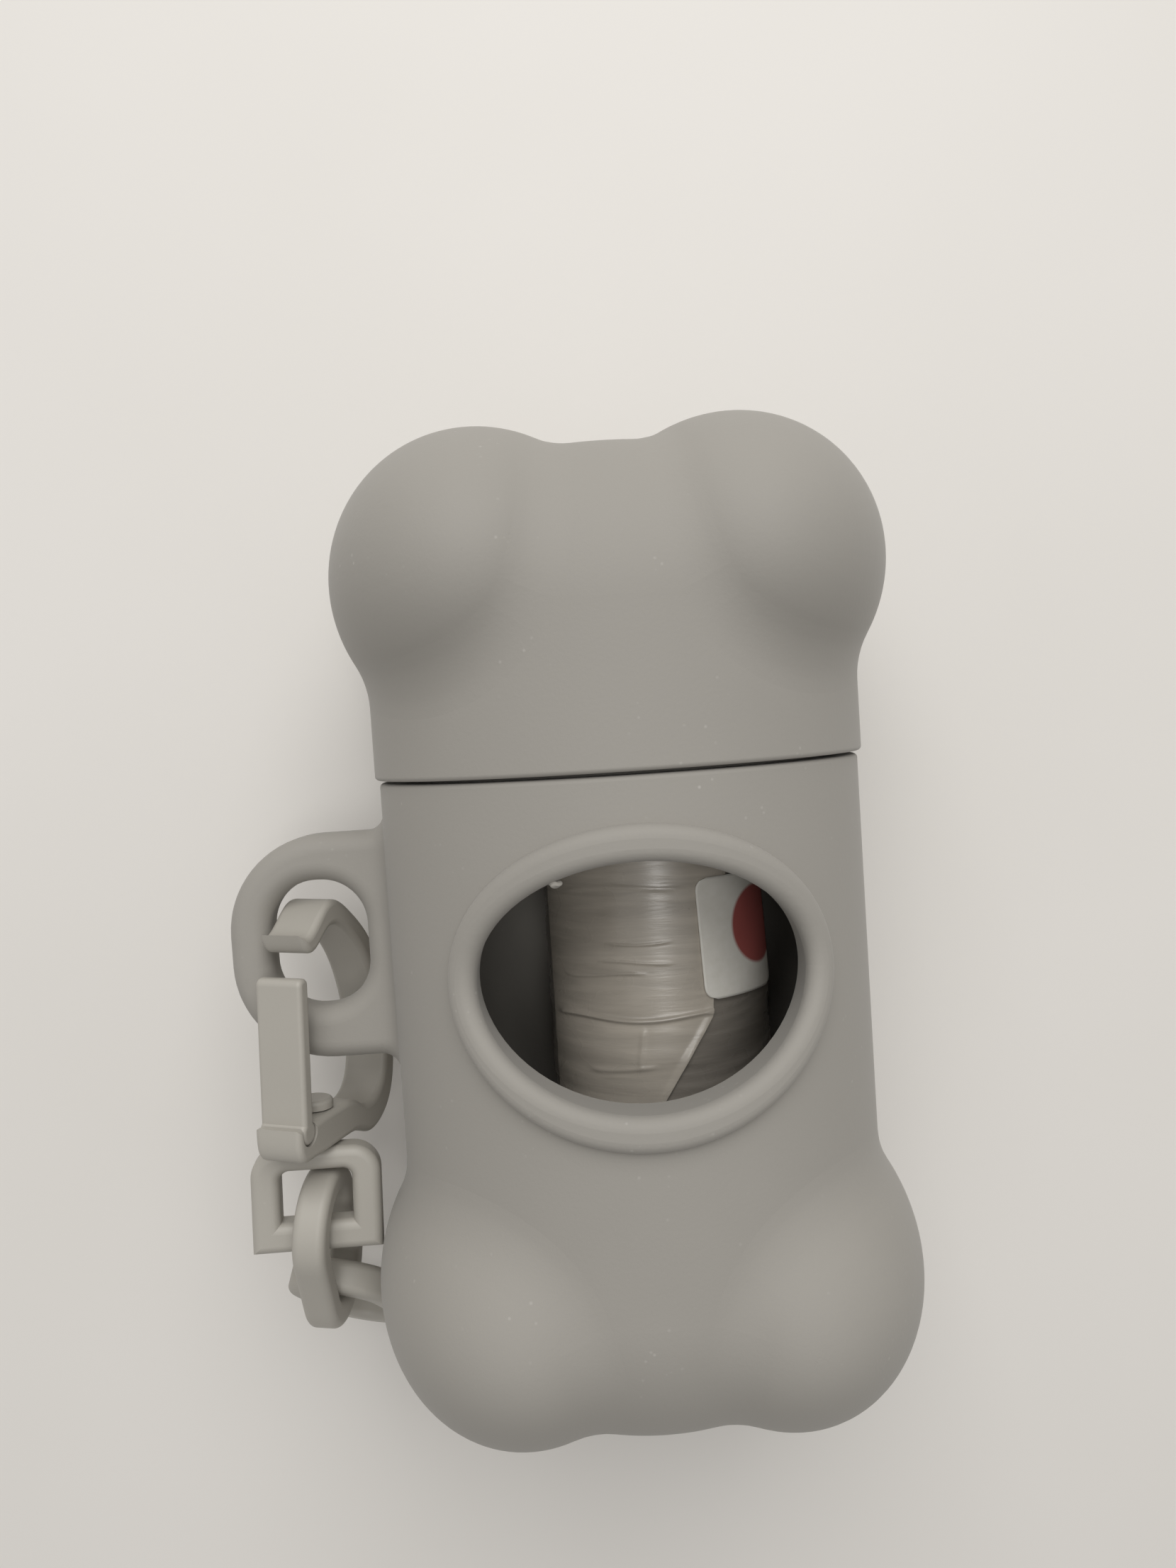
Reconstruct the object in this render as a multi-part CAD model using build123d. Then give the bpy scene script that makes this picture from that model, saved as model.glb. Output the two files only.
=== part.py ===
from build123d import *
import copy
import math
import os

# Bone-shaped holder for a roll of dog waste bags. Two moulded silicone shells, a cap that pulls off a
# neck, a roll of bags seen through an oval window, and a plastic snap hook with a short chain that is
# clipped into an ear on the left side. It lies on its back, as it would on a table.
# Millimetres. While it is modelled, Y runs along the bone towards the cap, X to the right, Z up and
# out of the window, and the origin is the middle of the bone. It is set down on Z = 0 at the end.

# ---- shells -------------------------------------------------------------------------------------
BODY_R = 19.8            # round waist of the body
CAP_PROUD = 0.35         # how far the cap stands proud of the body all round
CAP_R = BODY_R + CAP_PROUD  # round waist of the cap
WALL = 2.6               # silicone wall
KNOB_R = 12.4            # knob, seen from the front
KNOB_DEPTH = 20.55       # half of a knob's front-to-back depth
KNOB_X = 10.1            # knob centre from the bone's middle line
KNOB_Y = 28.3            # knob centre from the bone's middle
CAP_END = 37.9           # middle of the cap's end, in the dip between its knobs
BODY_END = 39.0          # the same on the body
END_ROUND = 13.0         # rounding of the tube's closed ends
BLEND = 7.2              # soft blend between knob and tube
HOLLOW_POLE = 3.0        # degrees cut off flat at the poles of the hollows in the knobs
REST_FLAT = 0.25         # flat worn on the knobs' backs, where the holder lies

# ---- joint between the shells -------------------------------------------------------------------
PARTING_Y = 12.7         # seam between body and cap
SEAM_GAP = 0.25          # open line at the seam
SEAM_EDGE = 0.35         # rounded lips along the seam
NECK_LENGTH = 7.0        # neck that stands up into the cap
NECK_WALL = 1.8
NECK_GAP = 0.35          # clearance between the neck and the cap's bore
BEAD_PROUD = 0.22        # snap bead round the neck
BEAD_R = 0.9             # radius of the bead's arc
BEAD_FROM_TOP = 2.2      # bead below the neck's mouth
GROOVE_GAP = 0.15        # clearance between the bead and its groove
NECK_ROOT = 4.0          # thick wall below the seam that carries the neck
MOUTH_EDGE = 0.6         # rounded mouth of the neck

# ---- window -------------------------------------------------------------------------------------
WINDOW_X = 0.25
WINDOW_Y = -1.95
WINDOW_HALF_X = 11.9
WINDOW_HALF_Y = 8.75
RIM_WIDTH_X = 2.1        # raised rim round the window, seen from the front
RIM_WIDTH_Y = 2.6
RIM_PROUD = 1.05
RIM_ROUND = 0.95

# ---- ear ----------------------------------------------------------------------------------------
EAR_REACH = 33.3         # ear's outer edge from the bone's middle line
EAR_Y = -0.7             # middle of the ear
EAR_HEIGHT = 18.9
EAR_THICK = 4.2
EAR_CORNER = 8.2
EAR_EDGE = 1.5           # rounded edge of the ear and its hole
HOLE_X = -25.8
HOLE_Y = -0.4
HOLE_WIDTH = 8.0
HOLE_HEIGHT = 10.6
HOLE_CORNER = 3.8
EAR_ROOT = 1.6           # soft root where the ear meets the body

# ---- roll of bags -------------------------------------------------------------------------------
ROLL_R = 9.7
ROLL_LENGTH = 58.0
ROLL_X = 2.6             # the roll leans a little to the right of the middle
ROLL_Y = -1.0            # middle of the roll
ROLL_REST = 0.4         # clearance between the roll and the neck's bore, in which it lies
CORE_R = 4.5
CORE_WALL = 1.0
CORE_PAST = 0.5          # core stands out of the film at each end
TAIL_THICK = 0.15        # loose bag end, a few films thick
TAIL_OUTLINE = ((-9.3, 28.5), (6.2, 28.5), (5.6, 4.0), (3.7, -7.0), (-0.2, -12.9), (-3.6, -18.5), (-6.0, -24.0),
                (-9.3, -28.5))
LABEL_THICK = 0.1
LABEL_LEFT = 5.6
LABEL_WIDTH = 6.1
LABEL_Y = -1.6
LABEL_HEIGHT = 10.0
LABEL_CORNER = 1.2

# ---- snap hook ----------------------------------------------------------------------------------
HOOK_X = -27.15          # hook's middle where it goes through the ear
HOOK_LEAN = 2.0          # degrees that the hook's base leans to the left
HOOK_TWIST = 18.0        # degrees that the hook's back leans to the right
HOOK_BAND = 4.2          # width of the hook's band
HOOK_EDGE = 0.5          # rounded edges of the hook
RIM_TO_TOP = 10.9        # from the ear's lower rim to the top of the hook's bend
RIM_TO_BASE = 9.6        # from the ear's lower rim to the underside of the hook's base
BASE_THICK = 3.0
NOSE_OUT = 7.4           # nose's front face, from the ear's middle plane
NOSE_THICK = 1.7
NOSE_TIP = 3.0           # nose's tip above the ear's lower rim
BEND_THICK = 2.1         # thickness of the bend
BACK_OUT = 10.6          # hook's back, from the ear's middle plane
BACK_THICK = 2.0
FRONT_OUT = 6.3          # base's front, from the ear's middle plane
GATE_IN = 4.05           # gate's inner face, from the ear's middle plane
GATE_THICK = 1.35
GATE_TIP = 5.4           # gate's tip above the ear's lower rim
GATE_ROOT_Y = -7.2       # middle of the gate's root, from the ear's lower rim
GATE_ROOT_R = 1.0        # rolled root of the gate
GATE_PLAY = 0.1          # clearance round the rolled root
STEM_OUT = 0.5           # swivel's stem, from the ear's middle plane
STEM_R = 1.0
STEM_PLAY = 0.15         # clearance round the stem
HEAD_R = 1.6             # rivet head that keeps the stem in the base
HEAD_HEIGHT = 0.8
HEAD_PLAY = 0.12         # clearance under the rivet head, and between the eye and the base

# ---- swivel eye and links -----------------------------------------------------------------------
EYE_WIDTH = 10.8
EYE_HEIGHT = 8.8
EYE_THICK = 2.7
EYE_OPEN_WIDTH = 6.0
EYE_OPEN_HEIGHT = 4.4
EYE_TOP_BAR = 1.9
EYE_TOP_CORNER = 2.4
EYE_LOW_CORNER = 4.3
EYE_EDGE = 0.75
EYE_TURN = 24.0          # degrees that the eye is turned on its stem
LINK_LENGTH = 15.8
LINK_WIDTH = 10.0
LINK_BAR = 2.3           # link's bar, seen on its flat
LINK_BAND = 2.8          # link's bar, seen on edge
LINK_EDGE = 0.7
LINK_AT = (-27.4, -20.5, 2.4)            # upper end of the chain link, inside the eye
LINK_DIR = (-0.03, -0.86, -0.50)         # it hangs down and towards the table
LINK_TURN = 8.0                          # degrees that its back leans to the right
LINK_PLAY = 1.0                          # clearance where the last link hangs in the chain link
END_DIR = (0.2, -0.6, -0.77)             # last link, down to the table and in under the knob
END_TURN = 25.0                          # degrees that the last link is turned on its long axis


# ---- shell forms --------------------------------------------------------------------------------
def tube(radius, mouth_y, end_y, rounding):
    """Round tube along Y, open flat at mouth_y and closed with a rounded end at end_y."""
    way = 1 if end_y > mouth_y else -1
    with BuildPart() as body:
        with BuildSketch(Plane.YZ):
            with BuildLine():
                Polyline((end_y, 0), (mouth_y, 0), (mouth_y, -radius), (end_y - way * rounding, -radius))
                RadiusArc((end_y - way * rounding, -radius), (end_y, rounding - radius), -way * rounding)
                Line((end_y, rounding - radius), (end_y, 0))
            make_face()
        revolve(axis=Axis.Y)
    return body.part


def knob(radius, depth, x, y, pole=0.0):
    """Egg-shaped knob, its seam turned in towards the middle of the bone; pole is degrees cut off flat."""
    with BuildPart() as body:
        with BuildSketch(Plane.XZ):
            with BuildLine():
                side = EllipticalCenterArc((0, 0), radius, depth, start_angle=pole - 90, arc_size=180 - 2 * pole)
                if pole:
                    Polyline(side @ 1, (0, (side @ 1).Y), (0, (side @ 0).Y), side @ 0)
                else:
                    Line(side @ 1, side @ 0)
            make_face()
        revolve(axis=Axis.Z)
    return Pos(x, y, 0) * Rot(0, 0, math.degrees(math.atan2(-y, -x))) * body.part


def half_bone(radius, mouth_y, end_y, inset=0.0):
    """Forms of one end of the bone: a tube with a knob on each side of its closed end."""
    way = 1 if end_y > 0 else -1
    forms = [tube(radius - inset, mouth_y, end_y - way * inset, END_ROUND - inset)]
    for side in (-1, 1):
        forms.append(knob(KNOB_R - inset, KNOB_DEPTH - inset, side * KNOB_X, way * KNOB_Y, HOLLOW_POLE if inset else 0))
    return forms


def soft_bone(radius, mouth_y, end_y):
    """The same forms in one, with a soft blend between the tube and its knobs."""
    form, *knobs = half_bone(radius, mouth_y, end_y)
    for one in knobs:
        form += one
    crease = [(e.center(), e.length) for e in form.edges() if e.geom_type == GeomType.BSPLINE]
    for side in (-1, 1):
        loop = []
        for edge in form.edges():
            if edge.geom_type != GeomType.BSPLINE or edge.center().X * side < 0:
                continue
            if any((edge.center() - c).length < 0.01 and abs(edge.length - n) < 0.01 for c, n in crease):
                loop.append(edge)
        form = form.fillet(BLEND, loop)
    return form


def flatten(form):
    """Flats on the backs of the knobs, on which the holder lies."""
    return form - Pos(0, 0, REST_FLAT - KNOB_DEPTH - 25) * Box(120, 120, 50)


def disc(radius, y0, y1):
    """Solid round bar along Y."""
    return Pos(0, (y0 + y1) / 2, 0) * Rot(90, 0, 0) * Cylinder(radius, abs(y1 - y0))


def seam_edge(form, y, radius):
    """Outer round edge of a shell at the seam."""
    found = []
    for edge in form.edges().filter_by(GeomType.CIRCLE):
        if abs(edge.center().Y - y) < 0.01 and abs(edge.radius - radius) < 0.01:
            found.append(edge)
    return found


# ---- cap ----------------------------------------------------------------------------------------
cap_seam = PARTING_Y + SEAM_GAP
cap_bore = CAP_R - WALL
cap = flatten(soft_bone(CAP_R, cap_seam, CAP_END))
cap = cap.fillet(SEAM_EDGE, seam_edge(cap, cap_seam, CAP_R))
for hollow in half_bone(CAP_R, cap_seam - 1, CAP_END, inset=WALL):
    cap -= hollow

neck_r = cap_bore - NECK_GAP
neck_top = PARTING_Y + NECK_LENGTH
bead_y = neck_top - BEAD_FROM_TOP


def bead_ring(base_r, proud, arc_r, y):
    """Ring with a round crown, proud of base_r."""
    half = math.sqrt(arc_r ** 2 - (arc_r - proud) ** 2)
    with BuildPart() as ring:
        with BuildSketch(Plane.YZ):
            with BuildLine():
                ThreePointArc((y - half, -base_r), (y, -base_r - proud), (y + half, -base_r))
                Polyline((y + half, -base_r), (y + half, -base_r + 0.8), (y - half, -base_r + 0.8), (y - half, -base_r))
            make_face()
        revolve(axis=Axis.Y)
    return ring.part


cap -= bead_ring(neck_r, BEAD_PROUD + GROOVE_GAP + 0.05, BEAD_R + GROOVE_GAP, bead_y)
cap.label = "cap_shell"

# ---- body ---------------------------------------------------------------------------------------
body = soft_bone(BODY_R, PARTING_Y, -BODY_END)
body = body.fillet(SEAM_EDGE, seam_edge(body, PARTING_Y, BODY_R))

with BuildPart() as ear:
    with BuildSketch(Plane.XY.offset(-EAR_THICK / 2)):
        with Locations(((-EAR_REACH - BODY_R + WALL) / 2, EAR_Y)):
            outline = Rectangle(EAR_REACH - BODY_R + WALL, EAR_HEIGHT)
        fillet(outline.vertices().sort_by(Axis.X)[:2], EAR_CORNER)
        with Locations((HOLE_X, HOLE_Y)):
            RectangleRounded(HOLE_WIDTH, HOLE_HEIGHT, HOLE_CORNER, mode=Mode.SUBTRACT)
    extrude(amount=EAR_THICK)
    flats = ear.faces().filter_by(Axis.Z)
    edges_to_round = [e for e in flats.edges() if e.bounding_box().min.X < -BODY_R - 0.5]
    fillet(edges_to_round, EAR_EDGE)
body += ear.part
root = []
for edge in body.edges():
    box = edge.bounding_box()
    near = math.hypot(edge.center().X, edge.center().Z)
    if box.max.X < -BODY_R + 0.8 and abs(box.max.Z) < EAR_THICK and abs(edge.center().Y) < 12 and near < BODY_R + 0.1:
        root.append(edge)
body = body.fillet(EAR_ROOT, root)

# raised rim round the window, moulded on the body
with BuildPart() as rim:
    with BuildSketch(Plane.XY):
        with Locations((WINDOW_X, WINDOW_Y)):
            Ellipse(WINDOW_HALF_X + RIM_WIDTH_X, WINDOW_HALF_Y + RIM_WIDTH_Y)
    extrude(amount=BODY_R + 5)
rim = rim.part & disc(BODY_R + RIM_PROUD, -30, 20)
rim -= disc(BODY_R - 1, -30, 20)


def crown_edges(form):
    """Edges on the rim's crown."""
    found = []
    for edge in form.edges():
        off = [abs(math.hypot((edge @ t).X, (edge @ t).Z) - BODY_R - RIM_PROUD) for t in (0.1, 0.5, 0.9)]
        if max(off) < 0.01 and edge.center().Z > 5:
            found.append(edge)
    return found


rim = rim.fillet(RIM_ROUND, crown_edges(rim))
body += rim

# neck, with the snap bead the cap clicks over
neck_bore = neck_r - NECK_WALL
neck = disc(neck_r, PARTING_Y - NECK_ROOT, neck_top)
neck = neck.fillet(MOUTH_EDGE, neck.edges().filter_by(GeomType.CIRCLE).sort_by(Axis.Y)[-1:])
body += neck
body += bead_ring(neck_r, BEAD_PROUD, BEAD_R, bead_y)
for hollow in half_bone(BODY_R, PARTING_Y - NECK_ROOT, -BODY_END, inset=WALL):
    body -= hollow
body -= disc(neck_bore, PARTING_Y - NECK_ROOT - 1, neck_top + 1)

with BuildPart() as window:
    with BuildSketch(Plane.XY.offset(4)):
        with Locations((WINDOW_X, WINDOW_Y)):
            Ellipse(WINDOW_HALF_X, WINDOW_HALF_Y)
    extrude(amount=BODY_R)
body -= window.part
inner_crown = [e for e in crown_edges(body) if abs((e @ 0.3).X - WINDOW_X) < WINDOW_HALF_X + 0.1]
body = body.fillet(RIM_ROUND, inner_crown)
body = flatten(body)
body.label = "body_shell"

# ---- roll of bags -------------------------------------------------------------------------------
roll_z = -math.sqrt((neck_bore - ROLL_R - ROLL_REST) ** 2 - ROLL_X ** 2)
roll_at = Pos(ROLL_X, ROLL_Y, roll_z)
half_roll = ROLL_LENGTH / 2
film = disc(ROLL_R, -half_roll, half_roll) - disc(CORE_R, -half_roll - 1, half_roll + 1)
core = disc(CORE_R, -half_roll - CORE_PAST, half_roll + CORE_PAST)
core -= disc(CORE_R - CORE_WALL, -half_roll - 2, half_roll + 2)


def wrap(radius, thick, outline):
    """Thin sheet wrapped on the front of the roll, cut to an outline drawn from the front."""
    sheet = disc(radius + thick, -half_roll, half_roll) - disc(radius, -half_roll - 1, half_roll + 1)
    return sheet & extrude(outline, amount=ROLL_R + 5)


tail_outline = make_face(Polyline(TAIL_OUTLINE, close=True))
tail = wrap(ROLL_R, TAIL_THICK, tail_outline)
label_outline = Pos(LABEL_LEFT - ROLL_X + LABEL_WIDTH / 2, LABEL_Y - ROLL_Y) * RectangleRounded(
    LABEL_WIDTH, LABEL_HEIGHT, LABEL_CORNER)
label = wrap(ROLL_R + TAIL_THICK, LABEL_THICK, label_outline)

# ---- snap hook ----------------------------------------------------------------------------------
# Drawn in its own plane: first number forward from the ear's middle plane, second number up from the
# middle of the ear's lower rim.
rim_y = ((EAR_Y - EAR_HEIGHT / 2) + (HOLE_Y - HOLE_HEIGHT / 2)) / 2
twist = math.radians(HOOK_TWIST)
hook_at = Pos(HOOK_X, rim_y, 0) * Rot(0, 0, -HOOK_LEAN) * Plane(
    origin=(0, 0, 0), x_dir=(-math.sin(twist), 0, math.cos(twist)),
    z_dir=(-math.cos(twist), 0, -math.sin(twist))).location
base_top = BASE_THICK - RIM_TO_BASE
nose_in = NOSE_OUT - NOSE_THICK
back_in = BACK_THICK - BACK_OUT
gate_x = GATE_IN + GATE_THICK / 2
with BuildPart() as hook:
    with BuildSketch():
        with BuildLine():
            outer = Spline((-2.2, -RIM_TO_BASE), (-5.6, -10.5), (-8.7, -9.4), (-BACK_OUT, -5.0), (-9.7, 1.0),
                           (-7.0, 6.6), (-3.4, 9.8), (0.4, RIM_TO_TOP), (5.1, 9.3), (NOSE_OUT, NOSE_TIP + 3.0),
                           tangents=[(-1, 0), (0, -1)])
            front = Spline((gate_x, -RIM_TO_BASE), (FRONT_OUT, GATE_ROOT_Y), tangents=[(1, 0), (0, 1)])
            Line(outer @ 0, front @ 0)
            Polyline(front @ 1, (FRONT_OUT, base_top), (-1.6, base_top))
            inner = Spline((-1.6, base_top), (-5.0, -7.8), (-7.4, -7.2), (back_in, -4.5), (-7.8, 0.9),
                           (-5.4, 5.6), (-2.6, 8.1), (0.2, RIM_TO_TOP - BEND_THICK), (4.0, 7.7),
                           (nose_in, NOSE_TIP + 2.2), tangents=[(-1, 0), (0, -1)])
            Polyline(inner @ 1, (nose_in, NOSE_TIP), (NOSE_OUT, NOSE_TIP), outer @ 1)
        make_face()
    extrude(amount=HOOK_BAND / 2, both=True)
    sides = hook.faces().filter_by(Axis.Z)
    fillet(sides.edges(), HOOK_EDGE)
    with Locations(Location((gate_x, GATE_ROOT_Y, 0))):
        Cylinder(GATE_ROOT_R + GATE_PLAY, HOOK_BAND + 1, mode=Mode.SUBTRACT)
    with Locations(Location((STEM_OUT, -RIM_TO_BASE, 0), (90, 0, 0))):
        Cylinder(STEM_R + STEM_PLAY, 2 * BASE_THICK + 2, mode=Mode.SUBTRACT)
hook_frame = hook_at * hook.part

with BuildPart() as tongue:
    with BuildSketch():
        with Locations((gate_x, (GATE_TIP + GATE_ROOT_Y) / 2)):
            blade = Rectangle(GATE_THICK, GATE_TIP - GATE_ROOT_Y)
        fillet(blade.vertices().sort_by(Axis.Y)[-2:], GATE_THICK / 2 - 0.1)
        with Locations((gate_x, GATE_ROOT_Y)):
            Circle(GATE_ROOT_R)
    extrude(amount=HOOK_BAND / 2, both=True)
    fillet(tongue.faces().filter_by(Axis.Z).edges(), HOOK_EDGE * 0.8)
hook_gate = hook_at * tongue.part

# ---- swivel eye ---------------------------------------------------------------------------------
eye_at = hook_at * Pos(STEM_OUT, -RIM_TO_BASE - HEAD_PLAY, 0) * Rot(0, 90 + EYE_TURN, 0)
with BuildPart() as eye:
    with BuildSketch():
        with Locations((0, -EYE_HEIGHT / 2)):
            around = Rectangle(EYE_WIDTH, EYE_HEIGHT)
        fillet(around.vertices().sort_by(Axis.Y)[-2:], EYE_TOP_CORNER)
        fillet(around.vertices().sort_by(Axis.Y)[:2], EYE_LOW_CORNER)
    extrude(amount=EYE_THICK / 2, both=True)
    with BuildSketch():
        with Locations((0, -EYE_TOP_BAR - EYE_OPEN_HEIGHT / 2)):
            opening = Rectangle(EYE_OPEN_WIDTH, EYE_OPEN_HEIGHT)
        fillet(opening.vertices().sort_by(Axis.Y)[-2:], EYE_TOP_CORNER / 3)
        fillet(opening.vertices().sort_by(Axis.Y)[:2], EYE_LOW_CORNER / 2)
    extrude(amount=EYE_THICK, both=True, mode=Mode.SUBTRACT)
    fillet(eye.faces().filter_by(Axis.Z).edges(), EYE_EDGE)
stem_length = BASE_THICK + 2 * HEAD_PLAY
stem = Pos(0, stem_length / 2 - EYE_TOP_BAR / 4, 0) * Rot(90, 0, 0) * Cylinder(STEM_R, stem_length + EYE_TOP_BAR / 2)
head = Pos(0, stem_length + HEAD_HEIGHT / 2, 0) * Rot(90, 0, 0) * Cylinder(HEAD_R, HEAD_HEIGHT)
head = head.fillet(HEAD_HEIGHT * 0.45, head.edges().filter_by(GeomType.CIRCLE).sort_by(Axis.Y)[-1:])
swivel_eye = eye_at * (eye.part + stem + head)


# ---- links --------------------------------------------------------------------------------------
def link(centre, along, across):
    """Flat oval link; along is its long axis, across the axis it is seen on edge from."""
    plane = Plane(origin=centre, x_dir=along, z_dir=across - along * across.dot(along))
    with BuildPart() as ring:
        with BuildSketch():
            SlotOverall(LINK_LENGTH, LINK_WIDTH)
            SlotOverall(LINK_LENGTH - 2 * LINK_BAR, LINK_WIDTH - 2 * LINK_BAR, mode=Mode.SUBTRACT)
        extrude(amount=LINK_BAND / 2, both=True)
        fillet(ring.faces().filter_by(Axis.Z).edges(), LINK_EDGE)
    return plane.location * ring.part


lean = math.radians(LINK_TURN)
link_dir = Vector(*LINK_DIR).normalized()
chain_link = link(Vector(*LINK_AT) + link_dir * LINK_LENGTH / 2, link_dir, Vector(math.cos(lean), 0, math.sin(lean)))

end_dir = Vector(*END_DIR).normalized()
flat_side = Vector(-END_DIR[1], END_DIR[0], 0).normalized()
steep_side = end_dir.cross(flat_side)
tip = math.radians(END_TURN)
end_width = flat_side * math.cos(tip) + steep_side * math.sin(tip)
end_top = Vector(*LINK_AT) + link_dir * (LINK_LENGTH - LINK_BAR / 2)
end_top -= (link_dir + end_dir).normalized() * (LINK_BAR / 2 + LINK_BAND / 2 + LINK_PLAY)
end_link = link(end_top + end_dir * (LINK_LENGTH - LINK_BAR) / 2, end_dir, end_dir.cross(end_width))

# ---- set down and write -------------------------------------------------------------------------
pieces = {
    "body_shell": body,
    "cap_shell": cap,
    "roll_core": roll_at * core,
    "film_roll": roll_at * film,
    "film_tail": roll_at * tail,
    "roll_label": roll_at * label,
    "hook_frame": hook_frame,
    "hook_gate": hook_gate,
    "swivel_eye": swivel_eye,
    "chain_link": chain_link,
    "end_link": end_link,
}
box = Compound(children=[copy.copy(p) for p in pieces.values()]).bounding_box()
shift = Pos(-(box.min.X + box.max.X) / 2, -(box.min.Y + box.max.Y) / 2, -box.min.Z)
print("shift", shift.position)
print("size", box.size)
os.makedirs("parts", exist_ok=True)
for name, piece in pieces.items():
    placed = shift * piece
    placed.label = name
    export_step(placed, f"parts/{name}.step")
    print(name, placed.is_valid, len(placed.solids()), len(placed.faces()), round(placed.volume, 1))
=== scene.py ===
# Bone-shaped holder for a roll of dog waste bags, lying on its back on a pale table.
import math
import bmesh
import bpy
from mathutils import Matrix, Vector


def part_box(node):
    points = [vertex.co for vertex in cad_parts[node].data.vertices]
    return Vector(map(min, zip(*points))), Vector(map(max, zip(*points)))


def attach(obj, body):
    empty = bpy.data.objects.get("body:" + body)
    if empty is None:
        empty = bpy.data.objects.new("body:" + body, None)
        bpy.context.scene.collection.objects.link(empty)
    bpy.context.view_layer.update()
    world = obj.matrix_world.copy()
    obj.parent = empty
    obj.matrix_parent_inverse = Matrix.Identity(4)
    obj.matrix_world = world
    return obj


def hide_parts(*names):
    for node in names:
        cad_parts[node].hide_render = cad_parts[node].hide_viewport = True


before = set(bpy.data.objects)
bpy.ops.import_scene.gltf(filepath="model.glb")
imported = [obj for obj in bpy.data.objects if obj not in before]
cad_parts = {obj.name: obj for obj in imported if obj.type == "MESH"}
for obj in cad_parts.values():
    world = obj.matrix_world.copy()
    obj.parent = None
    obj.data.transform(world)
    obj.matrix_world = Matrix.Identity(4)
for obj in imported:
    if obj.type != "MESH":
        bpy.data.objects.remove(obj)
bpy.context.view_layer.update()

# ---- Table, camera and light --------------------------------------------------------------------
# A smooth off-white table top. The holder was photographed from straight above with a phone, by soft
# daylight that comes in over the cap's end, so the near left of the table is a little darker.
shell_low, shell_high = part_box("body_shell")
MIDDLE = Vector((shell_high.x - 0.0225, shell_low.y + 0.0407, shell_low.z + 0.0203))

FOCAL_LENGTH = 1662.0 / 2212.0   # as a share of the photograph's height
SENSOR = 36.0
camera_data = bpy.data.cameras.new("phone_camera")
camera_data.sensor_width = SENSOR
camera_data.lens = FOCAL_LENGTH * SENSOR
camera_data.clip_start = 0.005
camera_data.clip_end = 10.0
camera = bpy.data.objects.new("phone_camera", camera_data)
bpy.context.scene.collection.objects.link(camera)
camera.matrix_world = Matrix((
    (0.9978, 0.0657, -0.0119, MIDDLE.x - 0.003733),
    (-0.0651, 0.9969, 0.0447, MIDDLE.y + 0.015848),
    (0.0148, -0.0438, 0.9989, MIDDLE.z + 0.099509),
    (0.0, 0.0, 0.0, 1.0)))
bpy.context.scene.camera = camera


def plain_material(name, color, roughness):
    """A Principled material with its colour and roughness set: the material, its tree and its shader."""
    material = bpy.data.materials.new(name)
    material.use_nodes = True
    shader = material.node_tree.nodes["Principled BSDF"]
    shader.inputs["Base Color"].default_value = (*color, 1.0)
    shader.inputs["Roughness"].default_value = roughness
    return material, material.node_tree, shader


def add_node(tree, kind, place, **inputs):
    """A node of that kind at that place, with its sockets' values set by name."""
    node = tree.nodes.new(kind)
    node.location = place
    for key, value in inputs.items():
        node.inputs[key.replace("_", " ")].default_value = value
    return node


def tint_node(tree, place, mask, dark, light):
    """A colour ramp from dark to light over the middle of a noise mask; puts out the colour."""
    ramp = add_node(tree, "ShaderNodeValToRGB", place)
    for end, position, color in zip(ramp.color_ramp.elements, (0.3, 0.7), (dark, light)):
        end.position = position
        end.color = (*color, 1)
    tree.links.new(mask, ramp.inputs["Fac"])
    return ramp.outputs["Color"]


table_mesh = bpy.data.meshes.new("table_top")
TABLE_HALF = 3.0
table_mesh.from_pydata(
    [(x * TABLE_HALF, y * TABLE_HALF, 0) for x, y in ((-1, -1), (1, -1), (1, 1), (-1, 1))], [], [(0, 1, 2, 3)])
table_top = bpy.data.objects.new("table_top", table_mesh)
bpy.context.scene.collection.objects.link(table_top)
table_paint, tree, shader = plain_material("table_laminate", (0.78, 0.755, 0.72), 0.55)
where = add_node(tree, "ShaderNodeTexCoord", (-900, 0))
cloud = add_node(tree, "ShaderNodeTexNoise", (-700, 0), Scale=14.0, Detail=3.0, Roughness=0.5)
tree.links.new(where.outputs["Object"], cloud.inputs["Vector"])
tint = tint_node(tree, (-500, 0), cloud.outputs["Fac"], (0.765, 0.742, 0.708), (0.795, 0.772, 0.742))
tree.links.new(tint, shader.inputs["Base Color"])
table_mesh.materials.append(table_paint)

# The room's own light is weak, and where the camera looks past the table it sees a pale wall.
world = bpy.data.worlds.new("room")
world.use_nodes = True
tree = world.node_tree
room_light = tree.nodes["Background"]
room_light.inputs["Color"].default_value = (1.0, 0.985, 0.96, 1)
room_light.inputs["Strength"].default_value = 0.37
wall = add_node(tree, "ShaderNodeBackground", (0, -200), Color=(0.90, 0.885, 0.86, 1), Strength=1.0)
seen = add_node(tree, "ShaderNodeLightPath", (-200, 200))
choose = add_node(tree, "ShaderNodeMixShader", (250, 0))
tree.links.new(seen.outputs["Is Camera Ray"], choose.inputs[0])
tree.links.new(room_light.outputs[0], choose.inputs[1])
tree.links.new(wall.outputs[0], choose.inputs[2])
tree.links.new(choose.outputs[0], tree.nodes["World Output"].inputs["Surface"])
bpy.context.scene.world = world


def soft_lamp(name, place, target, size, power, color):
    """A square soft lamp that faces its target."""
    data = bpy.data.lights.new(name, "AREA")
    data.size = size
    data.energy = power
    data.color = color
    lamp = bpy.data.objects.new(name, data)
    bpy.context.scene.collection.objects.link(lamp)
    lamp.location = place
    lamp.rotation_euler = (Vector(target) - Vector(place)).to_track_quat("-Z", "Y").to_euler()


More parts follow.
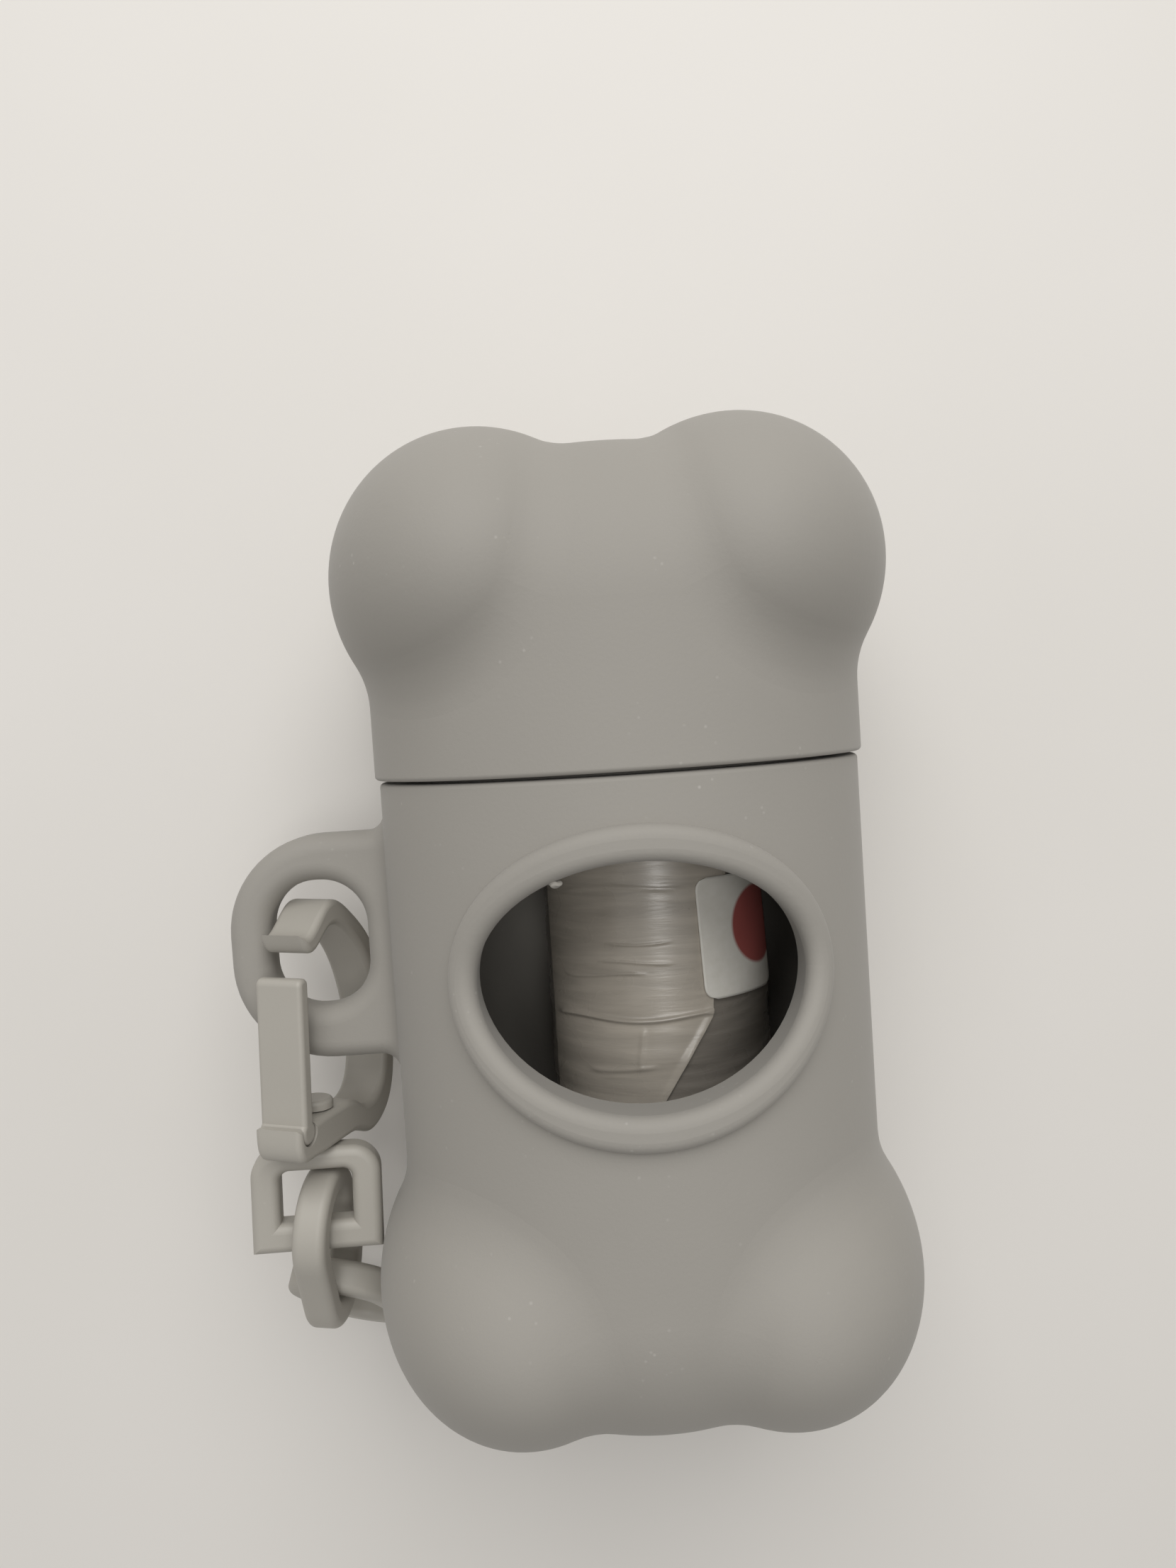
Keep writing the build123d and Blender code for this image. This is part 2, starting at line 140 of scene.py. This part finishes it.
soft_lamp("window_light", (0.02, 0.36, 0.40), (0, 0.01, 0), 0.45, 1.85, (1.0, 0.99, 0.97))
soft_lamp("ceiling_light", (0.03, 0.02, 0.75), (0, 0, 0), 0.22, 0.8, (1.0, 0.985, 0.96))

bpy.context.scene.view_settings.view_transform = "Standard"

# ---- Body: lower shell with the window ----------------------------------------------------------
# Soft grey silicone, moulded in one piece with the raised rim round the window, the ear on the left and
# the neck that the cap goes over. The skin is very matt, with a faint cloudiness and settled dust.


def open_group(name, colours, numbers, results):
    """A shader node group with those inputs and outputs: the group, its input node and its output node."""
    group = bpy.data.node_groups.new(name, "ShaderNodeTree")
    for socket in colours:
        group.interface.new_socket(name=socket, in_out="INPUT", socket_type="NodeSocketColor")
    for socket in numbers:
        group.interface.new_socket(name=socket, in_out="INPUT", socket_type="NodeSocketFloat")
    for socket in results:
        kind = "NodeSocketColor" if socket == "Colour" else "NodeSocketFloat"
        group.interface.new_socket(name=socket, in_out="OUTPUT", socket_type=kind)
    come, go = group.nodes.new("NodeGroupInput"), group.nodes.new("NodeGroupOutput")
    come.location, go.location = (-1300, 0), (700, 0)
    return group, come, go


def math_node(tree, operation, place, *values):
    """A Math node: each value is a number, or the socket that it comes from. Puts out the result."""
    node = add_node(tree, "ShaderNodeMath", place)
    node.operation = operation
    for socket, value in zip(node.inputs, values):
        if isinstance(value, float):
            socket.default_value = value
        else:
            tree.links.new(value, socket)
    return node.outputs[0]


def range_node(tree, place, mask, low, high, to_low=0.0, to_high=1.0):
    """A Map Range node that spreads low to high of a mask over to_low to to_high, numbers or sockets."""
    node = add_node(tree, "ShaderNodeMapRange", place)
    node.inputs["From Min"].default_value = low
    node.inputs["From Max"].default_value = high
    for name, value in (("To Min", to_low), ("To Max", to_high)):
        if isinstance(value, float):
            node.inputs[name].default_value = value
        else:
            tree.links.new(value, node.inputs[name])
    tree.links.new(mask, node.inputs["Value"])
    return node.outputs["Result"]


def scaled_color(tree, place, color, factor):
    """A colour times a factor, both from sockets."""
    node = add_node(tree, "ShaderNodeVectorMath", place)
    node.operation = "SCALE"
    tree.links.new(color, node.inputs[0])
    tree.links.new(factor, node.inputs["Scale"])
    return node.outputs[0]


def skin_group():
    """Matt moulded skin: cloudy colour, specks of dust, and a fine bump."""
    group, come, go = open_group(
        "moulded_skin", ["Colour"],
        ["Cloud size", "Cloud depth", "Grain size", "Dust", "Rough low", "Rough high"],
        ["Colour", "Roughness", "Height"])
    wire, have = group.links.new, come.outputs
    at = add_node(group, "ShaderNodeTexCoord", (-1100, -400)).outputs["Object"]
    cloud = add_node(group, "ShaderNodeTexNoise", (-800, 200), Detail=4.0, Roughness=0.55)
    wire(at, cloud.inputs["Vector"])
    wire(have["Cloud size"], cloud.inputs["Scale"])
    spread = math_node(group, "MULTIPLY_ADD", (-600, 200), cloud.outputs["Fac"], 2.0, -1.0)
    deep = math_node(group, "MULTIPLY_ADD", (-400, 200), spread, have["Cloud depth"], 1.0)
    cloudy = scaled_color(group, (-200, 200), have["Colour"], deep)
    speck = add_node(group, "ShaderNodeTexVoronoi", (-800, -150), Scale=900.0, Randomness=1.0)
    wire(at, speck.inputs["Vector"])
    near = range_node(group, (-600, -150), speck.outputs["Distance"], 0.05, 0.14, 1.0, 0.0)
    patch = add_node(group, "ShaderNodeTexNoise", (-800, -400), Scale=160.0, Detail=2.0)
    wire(at, patch.inputs["Vector"])
    few = range_node(group, (-600, -400), patch.outputs["Fac"], 0.55, 0.7)
    dust = math_node(group, "MULTIPLY", (-400, -250), near, few)
    amount = math_node(group, "MULTIPLY", (-200, -250), dust, have["Dust"])
    mix = add_node(group, "ShaderNodeMix", (100, 150))
    mix.data_type = "RGBA"
    wire(amount, mix.inputs["Factor"])
    wire(cloudy, mix.inputs[6])
    mix.inputs[7].default_value = (0.62, 0.6, 0.57, 1)
    wire(mix.outputs[2], go.inputs["Colour"])
    rough = range_node(
        group, (-200, 450), cloud.outputs["Fac"], 0.3, 0.7, have["Rough low"], have["Rough high"])
    wire(rough, go.inputs["Roughness"])
    grain = add_node(group, "ShaderNodeTexNoise", (-800, -650), Detail=2.0, Roughness=0.6)
    wire(at, grain.inputs["Vector"])
    wire(have["Grain size"], grain.inputs["Scale"])
    wire(math_node(group, "ADD", (300, -400), grain.outputs["Fac"], amount), go.inputs["Height"])
    return group


moulded_skin = skin_group()


def bump_normal(tree, shader, height, strength, depth):
    """Feeds a height through a Bump node of that strength and depth, in metres, to the shader's normal."""
    bump = add_node(tree, "ShaderNodeBump", (-250, -250), Strength=strength, Distance=depth)
    tree.links.new(height, bump.inputs["Height"])
    tree.links.new(bump.outputs["Normal"], shader.inputs["Normal"])


def grouped_material(name, color, roughness, group, strength, depth, **inputs):
    """A material whose colour, roughness and bump come from a node group: the material and its shader."""
    material, tree, shader = plain_material(name, color, roughness)
    finish = add_node(tree, "ShaderNodeGroup", (-600, 100))
    finish.node_tree = group
    finish.inputs["Colour"].default_value = (*color, 1)
    for key, value in inputs.items():
        finish.inputs[key.replace("_", " ")].default_value = value
    tree.links.new(finish.outputs["Colour"], shader.inputs["Base Color"])
    tree.links.new(finish.outputs["Roughness"], shader.inputs["Roughness"])
    bump_normal(tree, shader, finish.outputs["Height"], strength, depth)
    return material, shader


def finish_node(name, material):
    """Puts a material on a CAD node that keeps its own shape."""
    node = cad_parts[name]
    node.data.materials.clear()
    node.data.materials.append(material)


silicone, shader = grouped_material(
    "grey_silicone", (0.335, 0.319, 0.292), 0.62, moulded_skin, 0.6, 0.00002,
    Cloud_size=55.0, Cloud_depth=0.05, Grain_size=3200.0, Dust=0.35, Rough_low=0.62, Rough_high=0.78)
shader.inputs["Specular IOR Level"].default_value = 0.35
shader.inputs["Sheen Weight"].default_value = 0.12
shader.inputs["Sheen Roughness"].default_value = 0.5
finish_node("body_shell", silicone)

# ---- Cap ----------------------------------------------------------------------------------------
# The upper half of the bone, of the same silicone. It is pushed over the neck and clicks on a bead, and
# it stands a hair wider than the body, so that the seam shows as a fine dark line.
finish_node("cap_shell", silicone)

# ---- Roll of bags -------------------------------------------------------------------------------
# Thin grey bags, folded lengthwise and wound tight on a card tube, so that the roll's ends show the
# edges of many layers and its outside shows faint wrinkles that run round it.
card, tree, shader = plain_material("brown_card", (0.36, 0.27, 0.18), 0.8)
where = add_node(tree, "ShaderNodeTexCoord", (-900, 0))
fibre = add_node(tree, "ShaderNodeTexNoise", (-700, 0), Scale=900.0, Detail=4.0, Roughness=0.6)
tree.links.new(where.outputs["Object"], fibre.inputs["Vector"])
tint = tint_node(tree, (-500, 0), fibre.outputs["Fac"], (0.30, 0.22, 0.145), (0.42, 0.32, 0.22))
tree.links.new(tint, shader.inputs["Base Color"])
bump_normal(tree, shader, fibre.outputs["Fac"], 0.5, 0.00003)
finish_node("roll_core", card)

film_low, film_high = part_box("film_roll")
core_low, core_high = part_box("roll_core")
AXLE = (film_low + film_high) / 2
FILM_R = (film_high.x - film_low.x) / 2
FILM_HALF = (film_high.y - film_low.y) / 2
CORE_R = (core_high.x - core_low.x) / 2


def film_group():
    """Thin wound film: colour darker in the wrinkles' hollows and lighter on their crests as painted shade, and
    a bump of wrinkles that run round the roll.
    """
    group, come, go = open_group("wound_film", ["Colour"], ["Wrinkle size"], ["Colour", "Height", "Roughness"])
    wire, have = group.links.new, come.outputs
    at = add_node(group, "ShaderNodeTexCoord", (-1300, -300)).outputs["Object"]
    along = add_node(group, "ShaderNodeMapping", (-1100, -300), Scale=(0.10, 1.0, 0.10))
    wire(at, along.inputs["Vector"])
    wrinkle = add_node(group, "ShaderNodeTexNoise", (-800, -100), Detail=5.0, Roughness=0.6, Distortion=0.3)
    wire(along.outputs["Vector"], wrinkle.inputs["Vector"])
    wire(have["Wrinkle size"], wrinkle.inputs["Scale"])
    soft = add_node(group, "ShaderNodeTexNoise", (-800, -400), Scale=260.0, Detail=2.0, Roughness=0.5)
    wire(at, soft.inputs["Vector"])
    total = math_node(group, "MULTIPLY_ADD", (-400, -200), soft.outputs["Fac"], 0.7, wrinkle.outputs["Fac"])
    wire(total, go.inputs["Height"])
    # Painted shade: the colour darkens in the wrinkles' hollows and lightens on their crests, following the
    # wrinkle bump.
    shade = range_node(group, (-500, 150), wrinkle.outputs["Fac"], 0.3, 0.7, 0.86, 1.14)
    wire(scaled_color(group, (-200, 150), have["Colour"], shade), go.inputs["Colour"])
    gloss = range_node(group, (-500, 400), soft.outputs["Fac"], 0.3, 0.7, 0.22, 0.34)
    wire(gloss, go.inputs["Roughness"])
    return group


wound_film = film_group()


def smooth_piece(name, points, faces, material):
    """A mesh object from points and faces, shaded smooth, with its material."""
    mesh = bpy.data.meshes.new(name)
    mesh.from_pydata([tuple(p) for p in points], [], faces)
    mesh.materials.append(material)
    mesh.shade_smooth()
    piece = bpy.data.objects.new(name, mesh)
    bpy.context.scene.collection.objects.link(piece)
    return piece


def on_roll(angle, along, radius):
    """Point on the roll: angle from straight up towards +X, in radians, and metres along it."""
    return AXLE + Vector((radius * math.sin(angle), along, radius * math.cos(angle)))


# The outside waves a little where the bags' folded edges lie under the top layers. Each end is wound
# unevenly, so that its layers stand up to 0.2 mm apart.
ROUND_STEPS = 144
LONG_STEPS = 300
LAYERS = 26
SHOULDER = 0.0004        # the outermost layers round off at the ends by this much
LAYER_STEP = 0.0001


def film_swell(angle, along):
    """How far the outside stands under its full radius, in metres."""
    fold = 0.5 + 0.5 * math.sin(along * 1150 + 1.7 * math.sin(angle * 2 + 0.6))
    ripple = 0.5 + 0.5 * math.sin(along * 3900 + 2.2 * math.sin(angle * 3 + 1.0) + 6 * fold)
    return 0.00012 * fold + 0.00005 * ripple


across = [
    FILM_HALF - SHOULDER - i * (2 * FILM_HALF - 2 * SHOULDER) / LONG_STEPS for i in range(LONG_STEPS + 1)]
profile = []
for k in range(LAYERS + 1):
    radius = CORE_R + 0.00002 + (FILM_R - SHOULDER - CORE_R) * k / LAYERS
    profile.append((radius, FILM_HALF - 0.00012 - LAYER_STEP * ((k * 7) % 3)))
profile = profile + [(None, y) for y in across] + [(r, -y) for r, y in reversed(profile)]
points, faces = [], []
for radius, along in profile:
    for j in range(ROUND_STEPS):
        angle = 2 * math.pi * j / ROUND_STEPS
        points.append(on_roll(angle, along, radius or FILM_R - film_swell(angle, along)))
rings = len(profile)
for i in range(rings):
    for j in range(ROUND_STEPS):
        after, beside = (i + 1) % rings, (j + 1) % ROUND_STEPS
        faces.append((i * ROUND_STEPS + j, after * ROUND_STEPS + j,
                      after * ROUND_STEPS + beside, i * ROUND_STEPS + beside))
# The wound bags are the same film as the loose bag but coloured darker: the film's grey with painted shade, for
# the parts of the roll that lie in shade.
bag_film, _ = grouped_material(
    "wound_bag_film_painted_shade", (0.25, 0.228, 0.20), 0.33, wound_film, 0.7, 0.00006, Wrinkle_size=1500.0)
wound_bags = smooth_piece("wound_bags", points, faces, bag_film)
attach(wound_bags, "roll")
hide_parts("film_roll")

# ---- Loose bag ----------------------------------------------------------------------------------
# The end of the last bag lies over the roll's left side. Its free edge runs slanted down to the left,
# lifts a little and throws a dark line, and its pressed folds show as fine ridges across it.
MM = 0.001
LOOSE_UP = 0.00007       # the film's least height above the roll
LOOSE_MOST = 0.27        # the most that folds and edges stand above that (mm)
LOOSE_R = 9.85           # radius (mm) that turns a place seen from above into an angle
ARC_R = 9.8              # radius (mm) that turns an angle into a distance round the roll
LOOSE_LEFT = math.asin(-9.3 / LOOSE_R)
LOOSE_STEPS = 110
loose_edge = (
    # along the roll, sideways from its middle line as seen from above (mm)
    (28.0, 6.2), (4.0, 5.6), (-7.0, 3.7), (-12.9, -0.2), (-18.5, -3.6), (-24.0, -6.0), (-28.0, -9.0))
pressed_folds = (
    # middle along the roll (mm), left and right end (degrees from the top), height (mm), half width (mm)
    (-0.49, -27, 2, 0.09, 0.10), (-2.15, -31, 2, 0.10, 0.12), (-3.18, -54, -11, 0.12, 0.14),
    (-6.75, -62, 30, 0.24, 0.20), (-10.9, -40, -8, 0.10, 0.22), (3.9, -50, 10, 0.06, 0.2),
    (8.2, -60, 20, 0.07, 0.25), (-15.4, -60, -20, 0.08, 0.3))


def edge_angle(along):
    """Where the loose bag's free edge lies at that distance along the roll (mm)."""
    for (y1, x1), (y2, x2) in zip(loose_edge, loose_edge[1:]):
        if along >= y2:
            part = (along - y2) / (y1 - y2)
            return math.asin((x2 + (x1 - x2) * min(part, 1.0)) / LOOSE_R)
    return math.asin(loose_edge[-1][1] / LOOSE_R)


def fade(value, low, high):
    """0 below low, 1 above high, smooth between."""
    t = min(max((value - low) / (high - low), 0.0), 1.0)
    return t * t * (3 - 2 * t)


def loose_height(angle, along, to_edge):
    """How far the loose bag lies above the roll (m): angle round it, and mm along it and from the free edge."""
    degrees = math.degrees(angle)
    height = 0.0
    for middle, left, right, tall, half_width in pressed_folds:
        bend = middle + 0.18 * math.sin(degrees * 0.09 + middle)
        reach = fade(degrees, left - 4, left + 4) * (1 - fade(degrees, right - 4, right + 4))
        height += tall * reach * math.exp(-((along - bend) / half_width) ** 2)
    crease = math.exp(-((degrees + 13 - 0.8 * (along + 9)) / 1.3) ** 2)
    height += 0.09 * crease * fade(along, -11.4, -10.4) * (1 - fade(along, -8.2, -7.2))
    height += 0.17 * (1 - fade(to_edge, 0.0, 0.9)) * (1 - fade(along, -6.8, -5.6))
    height += 0.025 * (1 + math.sin(along * 2.3 + degrees * 0.05)) * fade(-along, 7, 9)
    return LOOSE_UP + MM * min(height, LOOSE_MOST)


# Cross lines of the film (mm along the roll): close together under the window, wide apart elsewhere.
lines = [28.0 - i * 1.0 for i in range(14)]
while lines[-1] > -17.0:
    lines.append(lines[-1] - 0.075)
while lines[-1] > -27.0:
    lines.append(lines[-1] - 0.5)
lines.append(-28.0)
points, faces, flat_area, widest = [], [], 0.0, 0.0
for i, along in enumerate(lines):
    right = edge_angle(along)
    for j in range(LOOSE_STEPS + 1):
        angle = LOOSE_LEFT + (right - LOOSE_LEFT) * j / LOOSE_STEPS
        to_edge = (right - angle) * ARC_R
        radius = FILM_R + loose_height(angle, along, to_edge)
        points.append(on_roll(angle, along * MM, radius))
    width = (right - LOOSE_LEFT) * (FILM_R + LOOSE_UP)
    widest = max(widest, width)
    if i:
        flat_area += (width + last_width) / 2 * (lines[i - 1] - along) * MM
        for j in range(LOOSE_STEPS):
            at = i * (LOOSE_STEPS + 1) + j
            faces.append((at - LOOSE_STEPS - 1, at, at + 1, at - LOOSE_STEPS))
    last_width = width
# The loose bag is coloured lighter than the wound bags of the same film: the film's grey with painted light,
# for the lit top layer.
lit_loose_film, shader = grouped_material(
    "loose_bag_film_painted_light", (0.52, 0.475, 0.41), 0.33, wound_film, 0.7, 0.00006, Wrinkle_size=1100.0)
shader.inputs["Specular IOR Level"].default_value = 0.9
loose_bag = smooth_piece("loose_bag", points, faces, lit_loose_film)
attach(loose_bag, "roll")
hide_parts("film_tail")

# ---- Sticker ------------------------------------------------------------------------------------
# A white paper sticker with rounded corners, glued over the loose bag's edge to hold it down. A plain red
# dot is printed on it, over its right edge.
STICKER_UP = 0.00022     # the sticker's underside above the roll
STICKER_THICK = 0.00006
STICKER_R = 9.9          # radius (mm) of the sticker's curve
STICKER_LEAN = -0.0011 * 0.035   # metres to the side for each mm along the roll
STICKER_STEPS = 40
sticker_left, sticker_right = math.asin(3.0 / STICKER_R), math.asin(9.1 / STICKER_R)
sticker_top, sticker_bottom, sticker_corner = 4.4, -5.6, 1.1
sticker_wide = (sticker_right - sticker_left) * STICKER_R
points, faces, places = [], [], []
for side in (STICKER_THICK, 0.0):
    for i in range(STICKER_STEPS + 1):
        along = sticker_bottom + (sticker_top - sticker_bottom) * i / STICKER_STEPS
        corner = max(0.0, sticker_corner - min(along - sticker_bottom, sticker_top - along))
        cut = sticker_corner - math.sqrt(max(sticker_corner ** 2 - corner ** 2, 0.0))
        for j in range(STICKER_STEPS + 1):
            flat_x = cut + (sticker_wide - 2 * cut) * j / STICKER_STEPS
            curl = 0.00003 * math.cos(along * 0.9) * math.sin(flat_x * 0.8)
            angle = sticker_left + flat_x / STICKER_R
            skew = STICKER_LEAN * (along + 0.6)
            point = on_roll(angle, along * MM, FILM_R + STICKER_UP + side + curl)
            points.append(point + Vector((skew, 0, 0)))
            places.append((flat_x, along))
grid = STICKER_STEPS + 1
for layer in (0, 1):
    for i in range(STICKER_STEPS):
        for j in range(STICKER_STEPS):
            at = layer * grid * grid + i * grid + j
            loop = (at, at + 1, at + grid + 1, at + grid)
            faces.append(loop if layer == 0 else loop[::-1])
border = list(range(grid)) + [i * grid + grid - 1 for i in range(1, grid)]
border += [(grid - 1) * grid + j for j in range(grid - 2, -1, -1)] + [i * grid for i in range(grid - 2, 0, -1)]
for first, second in zip(border, border[1:] + border[:1]):
    faces.append((second, first, first + grid * grid, second + grid * grid))
paper, tree, shader = plain_material("sticker_paper", (0.76, 0.74, 0.67), 0.46)
spot = add_node(tree, "ShaderNodeUVMap", (-1300, 0))
spot.uv_map = "print"
apart = add_node(tree, "ShaderNodeVectorMath", (-1100, 0))
apart.operation = "DISTANCE"
apart.inputs[1].default_value = (6.5, -0.1, 0)
tree.links.new(spot.outputs["UV"], apart.inputs[0])
inside = range_node(tree, (-900, 0), apart.outputs["Value"], 3.15, 3.45, 1.0, 0.0)
where = add_node(tree, "ShaderNodeTexCoord", (-1300, -300))
pulp = add_node(tree, "ShaderNodeTexNoise", (-1100, -300), Scale=1400.0, Detail=3.0, Roughness=0.6)
tree.links.new(where.outputs["Object"], pulp.inputs["Vector"])
blank = tint_node(tree, (-700, -250), pulp.outputs["Fac"], (0.86, 0.84, 0.77), (0.91, 0.89, 0.83))
ink = add_node(tree, "ShaderNodeMix", (-400, 0))
ink.data_type = "RGBA"
tree.links.new(inside, ink.inputs["Factor"])
tree.links.new(blank, ink.inputs[6])
ink.inputs[7].default_value = (0.42, 0.11, 0.10, 1)
tree.links.new(ink.outputs[2], shader.inputs["Base Color"])
bump_normal(tree, shader, pulp.outputs["Fac"], 0.35, 0.00002)
sticker = smooth_piece("sticker", points, faces, paper)
print_map = sticker.data.uv_layers.new(name="print")
for corner in sticker.data.loops:
    print_map.data[corner.index].uv = places[corner.vertex_index]
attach(sticker, "roll")
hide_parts("roll_label")

# ---- Moulding flash on the rim ------------------------------------------------------------------
# A crumb of silicone, under a millimetre wide, that the mould left on the rim's inner edge at the upper
# left. It is one with the body.
flash_form = bmesh.new()
bmesh.ops.create_uvsphere(flash_form, u_segments=18, v_segments=12, radius=1.0)
for point in flash_form.verts:
    turn = math.atan2(point.co.y, point.co.x)
    lump = 1 + 0.18 * math.sin(3 * turn + 4 * point.co.z) + 0.1 * math.cos(2 * turn)
    point.co = MIDDLE + Vector((
        -0.00545 + 0.00042 * lump * point.co.x,
        0.00555 + 0.00028 * lump * point.co.y,
        0.0192 + 0.0003 * point.co.z))
flash_mesh = bpy.data.meshes.new("rim_flash")
flash_form.to_mesh(flash_mesh)
flash_form.free()
flash_mesh.shade_smooth()
flash_mesh.materials.append(silicone)
rim_flash = bpy.data.objects.new("rim_flash", flash_mesh)
bpy.context.scene.collection.objects.link(rim_flash)
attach(rim_flash, "body")

# ---- Snap hook, swivel eye and links ------------------------------------------------------------
# Moulded of a hard grey plastic, a little smoother than the silicone. The hook hangs in the body's ear, its
# tongue turns on a rolled root, the eye turns in the hook's base, and the links pass through the eye.
hook_plastic, _ = grouped_material(
    "grey_plastic", (0.42, 0.40, 0.36), 0.42, moulded_skin, 0.6, 0.000012,
    Cloud_size=120.0, Cloud_depth=0.04, Grain_size=2600.0, Dust=0.15, Rough_low=0.42, Rough_high=0.52)
for name in ("hook_frame", "hook_gate", "swivel_eye", "chain_link", "end_link"):
    finish_node(name, hook_plastic)
